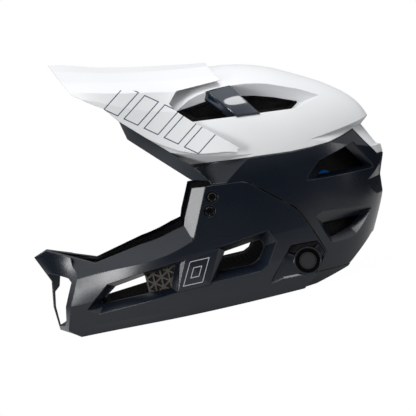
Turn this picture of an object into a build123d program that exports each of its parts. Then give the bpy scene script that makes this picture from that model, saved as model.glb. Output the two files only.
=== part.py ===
from build123d import *
import math
import os

os.makedirs("parts", exist_ok=True)

# Full-face mountain bike helmet with a chin bar that slides off forwards.
# It stands on its lower edges and looks along -X; -Y is the wearer's left.

# size of the whole
reach = 190.0  # half of the length, from the chin's beak to the tail
breadth = 107.0  # half of the width at the ears
crown = 240.0  # top of the shell above the ground
belt = 120.0  # height of the widest line of the shell
skirt = 180.0  # how far the shell's form runs on below the belt before it is cut
overrun = 60.0

# layers, from outside to inside
shell_wall = 2.4
bond = 0.3  # glue line or running gap between neighbouring layers
foam_gap = 0.6  # between the shell and its foam
lining = 32.0  # outside of the shell to the inside of the foam
trim_rise = 0.8
trim_wrap = 9.0
chin_wall = 4.0
chin_foam = 12.0
chin_pad_depth = 8.0
cheek_pad_depth = 20.0
visor_lift = 0.6
visor_wall = 2.2
fullness_share = 0.6  # how square the shell's cross-sections are
upright_share = 0.85  # how far its sides run straight down below the belt

# The shell's form from front to back, as shares of reach, breadth, belt, the height
# above the belt and the depth below it.
dome_share = [
    (-0.470, 0.680, 1.00, 0.640, 1.000),
    (-0.342, 0.800, 1.00, 0.820, 1.000),
    (-0.200, 0.893, 1.00, 0.940, 1.000),
    (-0.030, 0.965, 1.00, 0.992, 1.000),
    (0.158, 1.000, 1.00, 1.000, 1.000),
    (0.342, 1.000, 1.00, 0.956, 0.985),
    (0.521, 0.965, 1.00, 0.855, 0.925),
    (0.658, 0.885, 1.00, 0.737, 0.790),
    (0.779, 0.757, 1.00, 0.619, 0.610),
    (0.868, 0.600, 1.00, 0.508, 0.445),
    (0.932, 0.440, 0.99, 0.400, 0.310),
    (0.972, 0.280, 0.97, 0.262, 0.180),
    (1.000, 0.110, 0.94, 0.080, 0.054),
]


def dome(inset):
    # the shell's closed form, drawn in by the same amount all round
    wide = (breadth - inset) / breadth
    long = (reach - inset) / reach
    tall = (crown - belt - inset) / (crown - belt)
    deep = (skirt - inset) / skirt
    with BuildPart() as form:
        for x, half, mid, up, down in dome_share:
            side = half * breadth * wide
            middle = mid * belt
            top = middle + up * (crown - belt) * tall
            low = middle - down * skirt * deep
            with BuildSketch(Plane(origin=(x * reach * long, 0, 0), x_dir=(0, 1, 0), z_dir=(1, 0, 0))):
                with BuildLine():
                    bow = fullness_share * side
                    rise = fullness_share * (top - middle)
                    fall = upright_share * (middle - low)
                    Bezier((0, top), (bow, top), (side, middle + rise), (side, middle))
                    Bezier((side, middle), (side, middle - fall), (bow, low), (0, low))
                    Bezier((0, low), (-bow, low), (-side, middle - fall), (-side, middle))
                    Bezier((-side, middle), (-side, middle + rise), (-bow, top), (0, top))
                make_face()
        loft()
    return form.part


def seen(shares):
    # points of an outline as it is seen from the wearer's side
    return [(x * reach, z * crown) for x, z in shares]


def slab(shares, grow=0.0):
    # an outline seen from the side, through the whole width
    with BuildPart() as form:
        with BuildSketch(Plane.XZ):
            with BuildLine():
                Polyline(seen(shares), close=True)
            make_face()
            if grow:
                offset(amount=grow, kind=Kind.INTERSECTION)
        extrude(amount=breadth + overrun, both=True)
    return form.part


def pocket(mouth, floor, root, turn, sink, grow=0.0):
    # a pocket on the left whose slanted walls run from its mouth in to its floor;
    # root is a place on the surface and turn is how far the surface turns in plan there
    root_x = root[0] * reach
    root_y = -root[1] * breadth
    cosine = math.cos(math.radians(turn))
    sine = math.sin(math.radians(turn))
    face = Plane(origin=(root_x, root_y, 0), x_dir=(cosine, -sine, 0), z_dir=(-sine, -cosine, 0))
    with BuildPart() as form:
        for shares, depth in ((mouth, -overrun), (mouth, 0), (floor, sink + grow)):
            with BuildSketch(face.offset(-depth)):
                with BuildLine():
                    Polyline([((x - root_x - depth * sine) / cosine, z) for x, z in seen(shares)], close=True)
                make_face()
                if grow:
                    offset(amount=grow, kind=Kind.INTERSECTION)
        loft(ruled=True)
    return form.part


def slope(region, first, second, third, grow=0.0):
    # what lies outside a sloping plane on the left, within an outline seen from the side
    spots = [Vector(x * reach, -y * breadth, z * crown) for x, y, z in (first, second, third)]
    normal = (spots[1] - spots[0]).cross(spots[2] - spots[0]).normalized()
    if normal.Y > 0:
        normal = -normal
    with BuildPart() as form:
        with BuildSketch(Plane.XZ):
            with BuildLine():
                Polyline(seen(region), close=True)
            make_face()
            if grow:
                offset(amount=grow, kind=Kind.INTERSECTION)
        extrude(amount=breadth + overrun)
        split(bisect_by=Plane(origin=spots[0] - normal * grow, z_dir=normal), keep=Keep.TOP)
    return form.part


def pair(form):
    # a form on the left and its twin on the right
    return [form, form.mirror(Plane.XZ)]


# outlines seen from the wearer's left, as shares of reach and crown
upper_share = [
    (-0.400, 1.030), (-0.350, 0.900), (-0.335, 0.8385), (-0.053, 0.6155), (0.157, 0.598), (0.325, 0.585),
    (0.473, 0.5725), (0.593, 0.569), (0.686, 0.570), (0.760, 0.580), (0.845, 0.596), (0.895, 0.530),
    (0.950, 0.466), (1.000, 0.462), (1.200, 0.455), (1.200, 1.200), (-0.400, 1.200),
]
brow_share = [
    (-0.440, 1.030), (-0.400, 1.030), (-0.350, 0.900), (-0.335, 0.838), (-0.053, 0.615), (0.022, 0.535),
    (-0.070, 0.556), (-0.345, 0.780), (-0.368, 0.863),
]
lower_share = [
    (-0.052, 0.613), (0.157, 0.595), (0.325, 0.582), (0.473, 0.5695), (0.593, 0.566), (0.686, 0.567),
    (0.760, 0.577), (0.843, 0.592), (0.892, 0.528), (0.948, 0.463), (1.000, 0.459), (1.200, 0.452),
    (1.200, 0.190), (0.818, 0.140), (0.653, 0.048), (0.474, 0.053), (0.541, 0.124), (0.514, 0.189),
    (0.467, 0.289), (0.430, 0.342), (0.219, 0.494), (0.185, 0.5035), (0.027, 0.516), (0.023, 0.533),
]
liner_share = [
    (-0.435, 1.030), (-0.363, 0.863), (-0.340, 0.787), (-0.070, 0.567), (0.027, 0.528), (0.185, 0.5155),
    (0.219, 0.506), (0.438, 0.348), (0.477, 0.292), (0.526, 0.189), (0.555, 0.124), (0.500, 0.062),
    (0.653, 0.056), (0.818, 0.150), (1.200, 0.200), (1.200, 1.200), (-0.435, 1.200),
]
rim_share = [
    (0.385, 0.001), (0.474, 0.050), (0.653, 0.045), (0.640, 0.038), (0.450, 0.004),
]
chin_share = [
    (-1.100, -0.100), (0.379, -0.100), (0.379, 0.001), (0.468, 0.050), (0.536, 0.124), (0.509, 0.188),
    (0.462, 0.287), (0.425, 0.339), (0.216, 0.490), (0.183, 0.500), (0.025, 0.513), (-0.095, 0.521),
    (-0.163, 0.373), (-0.675, 0.298), (-0.929, 0.392), (-1.003, 0.374), (-1.100, 0.374),
]

# upper side vent: mouth with the sunken band above it, and the opening at the band's foot
vent_mouth_share = [
    (-0.055, 0.845), (0.013, 0.787), (0.550, 0.740), (0.717, 0.768), (0.600, 0.815), (0.450, 0.866),
    (0.340, 0.896), (0.220, 0.907), (0.076, 0.900),
]
vent_floor_share = [
    (-0.055, 0.845), (0.013, 0.787), (0.550, 0.740), (0.587, 0.759), (0.587, 0.766), (0.471, 0.805),
    (0.374, 0.831), (0.298, 0.844), (0.108, 0.857),
]
vent_place_share = (0.395, 0.617)
vent_turn = -5.0
band_sink = 4.0
strut_mouth_share = [(0.122, 0.906), (0.252, 0.902), (0.370, 0.753), (0.247, 0.763)]
strut_foot_share = [(0.105, 0.862), (0.262, 0.858), (0.380, 0.752), (0.205, 0.767)]

# rear vents: mouth and floor, in the same order of corners
rear_high_mouth_share = [(0.505, 0.4375), (0.610, 0.506), (0.824, 0.542), (0.915, 0.413)]
rear_high_floor_share = [(0.590, 0.447), (0.612, 0.498), (0.779, 0.530), (0.862, 0.430)]
rear_low_mouth_share = [(0.500, 0.305), (0.884, 0.257), (0.730, 0.160), (0.571, 0.132)]
rear_low_floor_share = [(0.556, 0.247), (0.768, 0.232), (0.694, 0.198), (0.584, 0.181)]

rear_high_place_share = (0.737, 0.715)
rear_high_turn = -34.5
rear_high_sink = 6.0
rear_low_place_share = (0.680, 0.785)
rear_low_turn = -35.0
rear_low_sink = 8.0

# groove under the tail spoiler and the drawn-in waist below it, rings about an upright axis
groove_axis_share = 0.360
groove_share = [(0.921, 0.600), (1.080, 0.700), (1.150, 0.430), (0.978, 0.505)]
waist_share = [(1.004, 0.456), (0.962, 0.371), (0.954, 0.300), (1.150, 0.220), (1.150, 0.456)]


def groove(shares, grow):
    # outline turned about the upright axis inside the shell
    centre = groove_axis_share * reach
    with BuildPart() as form:
        with BuildSketch(Plane.XZ):
            with BuildLine():
                Polyline(seen(shares), close=True)
            make_face()
            if grow:
                offset(amount=grow, kind=Kind.INTERSECTION)
        revolve(axis=Axis((centre, 0, 0), (0, 0, 1)))
    return form.part


def rear_high(mouth, sink, grow=0.0):
    # the upper rear vent's pocket
    return pocket(mouth, rear_high_floor_share, rear_high_place_share, rear_high_turn, sink, grow)


def rear_low(mouth, sink, grow=0.0):
    # the lower rear vent's pocket
    return pocket(mouth, rear_low_floor_share, rear_low_place_share, rear_low_turn, sink, grow)


def carved(inset, grow):
    # the shell's form with every sunken feature taken out of it
    band = pocket(vent_mouth_share, vent_floor_share, vent_place_share, vent_turn, band_sink, grow)
    high = rear_high(rear_high_mouth_share, rear_high_sink, grow)
    low = rear_low(rear_low_mouth_share, rear_low_sink, grow)
    with BuildPart() as form:
        add(dome(inset))
        add(pair(band) + pair(high) + pair(low), mode=Mode.SUBTRACT)
        add([groove(groove_share, grow), groove(waist_share, grow)], mode=Mode.SUBTRACT)
    return form.part


outer_form = carved(0.0, 0.0)
inner_form = carved(shell_wall, shell_wall)
foam_form = carved(shell_wall + foam_gap, shell_wall + foam_gap)
head_form = dome(lining)

# openings through the shells
vent_hole = pocket(vent_floor_share, vent_floor_share, vent_place_share, vent_turn, overrun)
high_hole = rear_high(rear_high_floor_share, rear_high_sink + overrun)
low_hole = rear_low(rear_low_floor_share, rear_low_sink + overrun)

with BuildPart() as skin:
    add(outer_form)
    add(inner_form, mode=Mode.SUBTRACT)

with BuildPart() as lower_shell:
    add(skin.part)
    add(slab(lower_share), mode=Mode.INTERSECT)
    add(pair(high_hole) + pair(low_hole), mode=Mode.SUBTRACT)
lower_shell.part.label = "lower_shell"

with BuildPart() as brow_trim:
    add(dome(-trim_rise))
    add(dome(trim_wrap), mode=Mode.SUBTRACT)
    add(slab(brow_share), mode=Mode.INTERSECT)
brow_trim.part.label = "brow_trim"

with BuildPart() as rim_trim:
    add(dome(0.0))
    add(dome(trim_wrap), mode=Mode.SUBTRACT)
    add(slab(rim_share), mode=Mode.INTERSECT)
rim_trim.part.label = "rim_trim"

# Fit dial: a knob behind the cradle, in a recess of the foam that opens downwards.
dial_radius = 14.0
dial_depth = 8.0
dial_height = 56.0
dial_grips = 12
dial_grip_radius = 2.0
dial_front = 144.0
dial_axle_radius = 4.0
dial_axle_length = 14.0
dial_room = 3.0
play = 0.05  # radial clearance of turning pins

# Latch: a steel striker behind each cheek seam, and a hook socket above it.
striker_size = (5.0, 4.0, 12.0)
striker_share = (0.572, 0.776, 0.115)
socket_size = (14.0, 12.0, 13.0)
socket_share = (0.420, 0.882, 0.408)
tongue_size = (26.0, 6.0, 7.0)
tongue_share = (0.342, 0.882, 0.408)
tongue_slack = 0.4

# Anchor plate of each strap, let into the foam's inner face.
anchor_size = (22.0, 3.0, 14.0)
anchor_share = (0.321, 0.7015, 0.530)

# Pivot pins that hold the visor's wings.
pin_place_share = (0.185, 1.000, 0.641)
pin_radius = 2.4
pin_proud = 0.4  # how far the pin stands out into the wing
pin_room = 0.15
pin_length = 9.0

# Small slip discs of the rotation system, seen in the corner of the upper rear vents.
disc_radius = 7.0
disc_depth = 3.0
disc_share = (0.628, 0.650, 0.428)


def spot(shares, side=-1):
    # a place given as shares of reach, breadth and crown, on the left by default
    return (shares[0] * reach, side * shares[1] * breadth, shares[2] * crown)


def blocks(size, shares, extra=0.0):
    # one block on each side
    with BuildPart() as form:
        with Locations(spot(shares, -1), spot(shares, 1)):
            Box(*[length + extra for length in size])
    return form.part


def sideways(shares, radius, outer, inner):
    # an upright disc on each side, from a place outwards and inwards
    with BuildPart() as form:
        for side in (-1, 1):
            x, y, z = spot(shares, side)
            with BuildSketch(Plane(origin=(x, y + side * outer, z), z_dir=(0, side, 0))):
                Circle(radius)
            extrude(amount=-outer - inner)
    return form.part


pin_bore = sideways(pin_place_share, pin_radius + play, pin_proud + pin_room, pin_length + bond)

# The foam keeps clear of the trims that wrap its edges, and is hollowed behind the vents.
foam_vent_share = [
    (0.010, 0.838), (0.050, 0.800), (0.520, 0.757), (0.560, 0.764), (0.555, 0.770), (0.465, 0.796),
    (0.370, 0.820), (0.298, 0.832), (0.130, 0.842),
]
foam_vent_sink = 12.0
foam_hollow = 11.5
with BuildPart() as wrap:
    add(slab(brow_share, bond))
    add(dome(trim_wrap + bond), mode=Mode.SUBTRACT)
with BuildPart() as foam_cuts:
    add(pair(pocket(vent_floor_share, foam_vent_share, vent_place_share, vent_turn, foam_vent_sink)))
    add(pair(rear_high(rear_high_floor_share, rear_high_sink + foam_hollow)))
    add(pair(rear_low(rear_low_floor_share, rear_low_sink + foam_hollow)))
    add(blocks(striker_size, striker_share, 2 * bond))
    add(blocks(socket_size, socket_share, 2 * bond))
    add(blocks(tongue_size, tongue_share, 2 * tongue_slack))
    add(blocks(anchor_size, anchor_share))
    add(sideways(disc_share, disc_radius + bond, disc_depth + bond, bond))
    add(pin_bore)
with BuildPart() as dial_recess:
    with BuildSketch(Plane.YZ.offset(dial_front - dial_room)):
        with Locations((0, dial_height)):
            Circle(dial_radius + dial_room)
        with Locations((0, dial_height / 2)):
            Rectangle(2 * (dial_radius + dial_room), dial_height)
    extrude(amount=dial_depth + 2 * dial_room)
    with BuildSketch(Plane.YZ.offset(dial_front)):
        with Locations((0, dial_height)):
            Circle(dial_axle_radius + bond)
    extrude(amount=-dial_axle_length - dial_room)
with BuildPart() as foam_liner:
    add(foam_form)
    add(head_form, mode=Mode.SUBTRACT)
    add(slab(liner_share), mode=Mode.INTERSECT)
    add(wrap.part, mode=Mode.SUBTRACT)
    add(foam_cuts.part, mode=Mode.SUBTRACT)
    add(dial_recess.part, mode=Mode.SUBTRACT)
foam_liner.part.label = "foam_liner"

with BuildPart() as upper_shell:
    add(skin.part)
    add(slab(upper_share), mode=Mode.INTERSECT)
    add(pair(vent_hole), mode=Mode.SUBTRACT)
    add(pin_bore, mode=Mode.SUBTRACT)
upper_shell.part.label = "upper_shell"

# Strut across each upper vent, over the sunken band, with sides that spread towards its foot.
strut_proud = 0.6
strut_sink = 3.4
with BuildPart() as vent_strut_left:
    add(pocket(strut_mouth_share, strut_foot_share, vent_place_share, vent_turn, strut_sink))
    add(dome(-strut_proud), mode=Mode.INTERSECT)
    add(upper_shell.part, mode=Mode.SUBTRACT)
vent_strut_left.part.label = "vent_strut_left"
vent_strut_right = vent_strut_left.part.mirror(Plane.XZ)
vent_strut_right.label = "vent_strut_right"

with BuildPart() as slip_discs:
    add(sideways(disc_share, disc_radius, disc_depth, 0.0))
slip_discs.part.label = "slip_discs"

with BuildPart() as latch_strikers:
    add(blocks(striker_size, striker_share))
latch_strikers.part.label = "latch_strikers"

with BuildPart() as hook_sockets:
    add(blocks(socket_size, socket_share))
    for side in (-1, 1):
        x, y, z = spot(socket_share, side)
        width = tongue_size[1] + 2 * tongue_slack
        height = tongue_size[2] + 2 * tongue_slack
        with Locations((x - socket_size[0] / 2, y, z)):
            Box(2 * socket_size[0] - 2 * shell_wall, width, height, mode=Mode.SUBTRACT)
hook_sockets.part.label = "hook_sockets"

# Pads and fit system inside the shell.

pad_gap = 0.3
crown_pad_depth = 7.0
pad_length = 122.0
pad_width = 96.0
pad_slot = 16.0
pad_centre_share = 0.215
with BuildPart() as pad_plan:
    with BuildSketch(Plane.XY.offset(belt)):
        with Locations((pad_centre_share * reach, 0)):
            SlotOverall(pad_length, pad_width)
            with GridLocations(0, 2 * pad_slot, 1, 2):
                SlotOverall(pad_length / 2, pad_slot, mode=Mode.SUBTRACT)
    extrude(amount=crown)
with BuildPart() as crown_pad:
    add(dome(lining + pad_gap))
    add(dome(lining + pad_gap + crown_pad_depth), mode=Mode.SUBTRACT)
    add(pad_plan.part, mode=Mode.INTERSECT)
crown_pad.part.label = "crown_pad"

brow_pad_share = [
    (-0.560, 1.000), (-0.340, 0.815), (-0.190, 0.690), (-0.110, 0.740), (-0.220, 0.880), (-0.560, 1.200),
]
with BuildPart() as brow_pad:
    add(dome(lining + pad_gap))
    add(dome(lining + pad_gap + crown_pad_depth), mode=Mode.SUBTRACT)
    add(slab(brow_pad_share), mode=Mode.INTERSECT)
brow_pad.part.label = "brow_pad"

# The cradle hugs the nape; only its two ends reach the foam.
cradle_gap = 5.0
cradle_wall = 2.4
cradle_share = [
    (0.420, 0.330), (0.420, 0.400), (0.900, 0.330), (0.900, 0.180), (0.700, 0.180), (0.560, 0.260),
]
cradle_end_share = [(0.420, 0.330), (0.420, 0.400), (0.500, 0.388), (0.500, 0.300)]
with BuildPart() as cradle_ends:
    add(dome(lining + pad_gap))
    add(dome(lining + cradle_gap + cradle_wall), mode=Mode.SUBTRACT)
    add(slab(cradle_end_share), mode=Mode.INTERSECT)
with BuildPart() as fit_cradle:
    add(dome(lining + cradle_gap))
    add(dome(lining + cradle_gap + cradle_wall), mode=Mode.SUBTRACT)
    add(slab(cradle_share), mode=Mode.INTERSECT)
    add(cradle_ends.part)
    with BuildSketch(Plane.YZ.offset(dial_front - overrun)):
        with Locations((0, dial_height)):
            Circle(dial_axle_radius + play)
    extrude(amount=overrun, mode=Mode.SUBTRACT)
fit_cradle.part.label = "fit_cradle"

nape_pad_share = [(0.560, 0.320), (0.560, 0.370), (0.900, 0.320), (0.900, 0.280), (0.700, 0.280)]
cradle_layers = lining + cradle_gap + cradle_wall
with BuildPart() as nape_pad:
    add(dome(cradle_layers + pad_gap))
    add(dome(cradle_layers + pad_gap + crown_pad_depth), mode=Mode.SUBTRACT)
    add(slab(nape_pad_share), mode=Mode.INTERSECT)
nape_pad.part.label = "nape_pad"

with BuildPart() as fit_dial:
    with BuildSketch(Plane.YZ.offset(dial_front)):
        with Locations((0, dial_height)):
            Circle(dial_radius)
            with PolarLocations(dial_radius, dial_grips):
                Circle(dial_grip_radius, mode=Mode.SUBTRACT)
    extrude(amount=dial_depth)
    with BuildSketch(Plane.YZ.offset(dial_front)):
        with Locations((0, dial_height)):
            Circle(dial_axle_radius)
    extrude(amount=-dial_axle_length)
fit_dial.part.label = "fit_dial"

# Chin strap: two lengths of webbing and the buckle between them.
strap_width = 18.0
strap_wall = 1.6
strap_front = 52.0
strap_share = [
    (0.680, 0.560), (0.680, 0.500), (0.618, 0.420), (0.590, 0.300), (0.470, 0.160), (0.240, 0.072),
    (0.135, 0.067),
]
buckle_size = (26.0, 28.0, 8.0)
buckle_height = 16.0


def strap(side):
    # webbing from under the foam's edge down to the buckle
    with BuildPart() as web:
        with BuildSketch(Plane.YZ.offset(strap_front)):
            with BuildLine() as run:
                Polyline([(side * y * breadth, z * crown) for y, z in strap_share])
            trace(line_width=strap_wall)
        extrude(amount=strap_width)
    return web.part


strap_left = strap(-1)
strap_left.label = "strap_left"
strap_right = strap(1)
strap_right.label = "strap_right"

with BuildPart() as strap_anchors:
    add(blocks(anchor_size, anchor_share))
strap_anchors.part.label = "strap_anchors"

with BuildPart() as buckle:
    with Locations((strap_front + strap_width / 2, 0, buckle_height)):
        Box(*buckle_size)
    fillet(buckle.edges().filter_by(Axis.Z), radius=buckle_size[2] / 2)
    add([strap_left, strap_right], mode=Mode.SUBTRACT)
buckle.part.label = "buckle"

# Plan outlines of the chin bar from the ground up, as shares: height of crown, front and
# corner of reach, corner of breadth, and half widths of breadth at the side stations.
chin_station_share = (-0.500, -0.250, 0.000, 0.250, 0.590)
chin_level_share = [
    (0.000, -0.884, -0.845, 0.350, (0.620, 0.815, 0.915, 0.945, 0.905)),
    (0.038, -0.960, -0.905, 0.360, (0.675, 0.870, 0.958, 0.982, 0.942)),
    (0.142, -0.966, -0.860, 0.450, (0.706, 0.893, 0.975, 1.000, 0.965)),
    (0.254, -0.942, -0.788, 0.472, (0.715, 0.902, 0.982, 1.009, 0.976)),
    (0.372, -1.003, -0.705, 0.467, (0.715, 0.904, 0.984, 1.012, 0.984)),
    (0.525, -1.003, -0.705, 0.467, (0.715, 0.904, 0.984, 1.014, 0.996)),
]
corner_inset_share = 0.77
collar = 2.6  # wall of the moulded window and vent collars
window_sink = 12.0


def chin_form(inset, stretch=0.0):
    # the chin bar's filled form in plan, drawn in all round, and stretched up and down
    last = len(chin_level_share) - 1
    with BuildPart() as form:
        for index, (z, front, corner, corner_side, sides) in enumerate(chin_level_share):
            height = z * crown
            if index == 0:
                height = height - stretch
            if index == last:
                height = height + stretch
            nose = front * reach + inset
            turn_x = corner * reach + corner_inset_share * inset
            turn_y = corner_side * breadth - corner_inset_share * inset
            flank = [(turn_x, turn_y)]
            flank += [(x * reach, y * breadth - inset) for x, y in zip(chin_station_share, sides)]
            twin = [(x, -y) for x, y in flank]
            with BuildSketch(Plane.XY.offset(height)):
                with BuildLine():
                    Line((nose, 0), twin[0])
                    Spline(*twin)
                    Line(twin[-1], flank[-1])
                    Spline(*flank)
                    Line(flank[0], (nose, 0))
                make_face()
        loft(ruled=True)
    return form.part


# Windows in the chin bar's sides: mouth and floor, in the same order of corners.
front_mouth_share = [
    (-0.789, 0.110), (-0.729, 0.070), (-0.276, 0.107), (-0.188, 0.241), (-0.641, 0.204),
]
front_floor_share = [
    (-0.702, 0.126), (-0.680, 0.122), (-0.305, 0.129), (-0.256, 0.224), (-0.595, 0.184),
]
front_place_share = (-0.526, 0.690)
front_turn = 24.0
back_mouth_share = [
    (-0.130, 0.115), (0.175, 0.116), (0.226, 0.136), (0.296, 0.222), (0.258, 0.275), (-0.028, 0.254),
]
back_floor_share = [
    (-0.062, 0.152), (0.144, 0.149), (0.179, 0.161), (0.226, 0.212), (0.220, 0.246), (0.001, 0.228),
]
back_place_share = (0.074, 0.985)
back_turn = 4.5

# Bevels along the eye port: where each one lies on the side view, and three places on its slope.
sill_region_share = [
    (-0.800, 0.220), (-0.142, 0.260), (-0.142, 0.323), (-0.163, 0.373), (-0.190, 0.480), (-0.800, 0.480),
]
sill_place_share = [(-0.784, 0.472, 0.254), (-0.142, 0.916, 0.323), (-0.163, 0.804, 0.373)]
post_region_share = [
    (-0.142, 0.323), (-0.120, 0.300), (0.060, 0.300), (0.060, 0.600), (-0.240, 0.600), (-0.163, 0.373),
]
post_place_share = [(-0.142, 0.916, 0.323), (-0.015, 0.972, 0.508), (-0.163, 0.804, 0.373)]

# half of the mouth vent, looking from the front, as shares of breadth and crown
mouth_share = [
    (0.012, 0.292), (0.310, 0.258), (0.374, 0.240), (0.290, 0.080), (0.240, 0.060), (0.012, 0.056),
]


def mouth(grow=0.0):
    # half of the mouth vent, straight through the front of the chin bar
    with BuildPart() as form:
        with BuildSketch(Plane.YZ.offset(-reach)):
            with BuildLine():
                Polyline([(-y * breadth, z * crown) for y, z in mouth_share], close=True)
            make_face()
            if grow:
                offset(amount=grow, kind=Kind.INTERSECTION)
        extrude(amount=overrun, both=True)
    return form.part


def front_window(mouth, sink, grow=0.0):
    # the front window's pocket
    return pocket(mouth, front_floor_share, front_place_share, front_turn, sink, grow)


def back_window(mouth, sink, grow=0.0):
    # the rear window's pocket
    return pocket(mouth, back_floor_share, back_place_share, back_turn, sink, grow)


def chin_carved(inset, grow):
    # the chin bar's form with bevels, windows and vent taken out of it
    cuts = pair(slope(sill_region_share, *sill_place_share, grow=grow))
    cuts += pair(slope(post_region_share, *post_place_share, grow=grow))
    cuts += pair(front_window(front_mouth_share, window_sink, grow))
    cuts += pair(back_window(back_mouth_share, window_sink, grow))
    cuts += pair(mouth(grow))
    with BuildPart() as form:
        add(chin_form(inset))
        add(slab(chin_share, -grow), mode=Mode.INTERSECT)
        add(cuts, mode=Mode.SUBTRACT)
    return form.part


# Behind the thin post in the middle of the mouth vent the wall is cut away.
post_relief_share = [
    (-0.951, 0.060), (-0.952, 0.142), (-0.936, 0.205), (-0.905, 0.225), (-0.880, 0.289), (-0.700, 0.289),
    (-0.700, 0.060),
]
post_relief = 1.7
with BuildPart() as post_space:
    with BuildSketch(Plane.XZ):
        with BuildLine():
            Polyline(seen(post_relief_share), close=True)
        make_face()
    extrude(amount=post_relief, both=True)

front_hole = front_window(front_floor_share, window_sink + overrun)
back_hole = back_window(back_floor_share, window_sink + overrun)
chin_inside = chin_form(chin_wall + chin_foam, overrun)

# Release buttons and screws in the chin bar's cheeks.
button_share = (0.427, 0.968, 0.1125)
button_radius = 8.6
button_depth = 3.2
button_travel = 3.0
button_slack = 0.3
stem_radius = 4.0
stem_length = 5.0
bezel_wall = 3.8
bezel_rise = 0.6
bezel_seat = 3.3  # how deep the cap's seat is
bezel_depth = 4.6
rim_radius = 14.0
rim_rise = 0.9
panel_share = [
    (0.358, 0.194), (0.503, 0.187), (0.531, 0.126), (0.462, 0.056), (0.280, 0.063), (0.189, 0.046),
]
panel_floor_share = [
    (0.362, 0.186), (0.497, 0.180), (0.522, 0.128), (0.458, 0.064), (0.284, 0.071), (0.215, 0.060),
]
panel_turn = -3.2
panel_sink = 1.5
screw_share = [(0.016, 0.984, 0.467), (-0.015, 0.975, 0.412)]
screw_radius = 5.5
screw_head = 2.4
screw_sink = 2.0
shank_radius = 2.2
shank_length = 7.0


cheek_panel = pocket(panel_share, panel_floor_share, button_share, panel_turn, panel_sink)
with BuildPart() as cheek_bores:
    add(sideways(button_share, button_radius + bezel_wall, overrun, bezel_depth))
    add(sideways(button_share, stem_radius + button_slack, overrun, chin_wall + chin_foam))
    for place in screw_share:
        add(sideways(place, screw_radius + button_slack, overrun, screw_sink))
        add(sideways(place, shank_radius + button_slack, overrun, screw_sink + shank_length))

with BuildPart() as chin_bar_shell:
    add(chin_carved(0.0, 0.0))
    add(chin_carved(chin_wall, collar), mode=Mode.SUBTRACT)
    add(chin_inside, mode=Mode.SUBTRACT)
    add(pair(front_hole) + pair(back_hole), mode=Mode.SUBTRACT)
    add(pair(cheek_panel), mode=Mode.SUBTRACT)
    add(post_space.part, mode=Mode.SUBTRACT)
    add(sideways(button_share, rim_radius, rim_rise, chin_wall / 2))
    add(cheek_bores.part, mode=Mode.SUBTRACT)
    add(blocks(tongue_size, tongue_share, bond), mode=Mode.SUBTRACT)
chin_bar_shell.part.label = "chin_bar_shell"

# Grille behind each front window: a plate with rows of triangular holes.
grille_share = (-0.360, 0.170)
grille_length = 44.0
grille_height = 29.0
grille_wall = 1.6
grille_sink = 2.4
grille_room = 0.3
grille_side = 10.0
grille_bar = 1.9
grille_frame = 2.0
grille_columns = 4
grille_rows = 5


def grille_seat():
    # the grille's plane, just inside the foam, and the plate's middle on it
    turn = math.radians(front_turn)
    root_x = front_place_share[0] * reach
    root_y = front_place_share[1] * breadth
    face = Plane(
        origin=(root_x, -root_y, 0),
        x_dir=(math.cos(turn), -math.sin(turn), 0),
        z_dir=(-math.sin(turn), -math.cos(turn), 0),
    ).offset(-chin_wall - chin_foam - grille_sink)
    return face, ((grille_share[0] * reach - root_x) / math.cos(turn), grille_share[1] * crown)


def grille(side):
    # the plate with its holes
    face, middle = grille_seat()
    column = grille_side * math.sqrt(3) / 2
    hole = (grille_side - grille_bar * math.sqrt(3)) / math.sqrt(3)
    with BuildSketch(face) as holes:
        with Locations(middle):
            for across in range(grille_columns + 1):
                for up in range(grille_rows + 1):
                    turned = (across + up) % 2
                    x = (across - (grille_columns + 1) / 2) * column + column * (1 + turned) / 3
                    z = (up - grille_rows / 2) * grille_side / 2
                    with Locations((x, z)):
                        RegularPolygon(hole, 3, rotation=180 * turned)
            Rectangle(grille_length - 2 * grille_frame, grille_height - 2 * grille_frame, mode=Mode.INTERSECT)
    with BuildPart() as plate:
        with BuildSketch(face):
            with Locations(middle):
                Rectangle(grille_length, grille_height)
        extrude(amount=grille_wall)
        with BuildSketch(face):
            add(holes.sketch_local)
        extrude(amount=grille_wall, mode=Mode.SUBTRACT)
    if side > 0:
        return plate.part.mirror(Plane.XZ)
    return plate.part


side_grille_left = grille(-1)
side_grille_left.label = "side_grille_left"
side_grille_right = grille(1)
side_grille_right.label = "side_grille_right"

with BuildPart() as grille_space:
    seat, centre = grille_seat()
    with BuildSketch(seat.offset(-grille_room)):
        with Locations(centre):
            Rectangle(grille_length + 2 * grille_room, grille_height + 2 * grille_room)
    extrude(amount=grille_wall + 2 * grille_room)

with BuildPart() as chin_foam_liner:
    add(chin_carved(chin_wall + bond, collar + bond))
    add(chin_inside, mode=Mode.SUBTRACT)
    add(pair(front_hole) + pair(back_hole), mode=Mode.SUBTRACT)
    add(cheek_bores.part, mode=Mode.SUBTRACT)
    add(sideways(button_share, rim_radius + bond, overrun, chin_wall / 2 + bond), mode=Mode.SUBTRACT)
    add(blocks(tongue_size, tongue_share, bond), mode=Mode.SUBTRACT)
    add(pair(grille_space.part), mode=Mode.SUBTRACT)
chin_foam_liner.part.label = "chin_foam_liner"

with BuildPart() as chin_tongues:
    add(blocks(tongue_size, tongue_share))
chin_tongues.part.label = "chin_tongues"

with BuildPart() as button_bezels:
    add(sideways(button_share, button_radius + bezel_wall - bond / 10, bezel_rise, bezel_depth - bond / 10))
    add(sideways(button_share, button_radius + button_slack, overrun, bezel_seat), mode=Mode.SUBTRACT)
    add(sideways(button_share, stem_radius + button_slack, overrun, overrun / 2), mode=Mode.SUBTRACT)
button_bezels.part.label = "button_bezels"

with BuildPart() as chin_screws:
    for place in screw_share:
        add(sideways(place, screw_radius, screw_head - screw_sink, screw_sink - bond / 10))
        add(sideways(place, shank_radius, 0.0, screw_sink + shank_length - bond))
chin_screws.part.label = "chin_screws"


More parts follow.
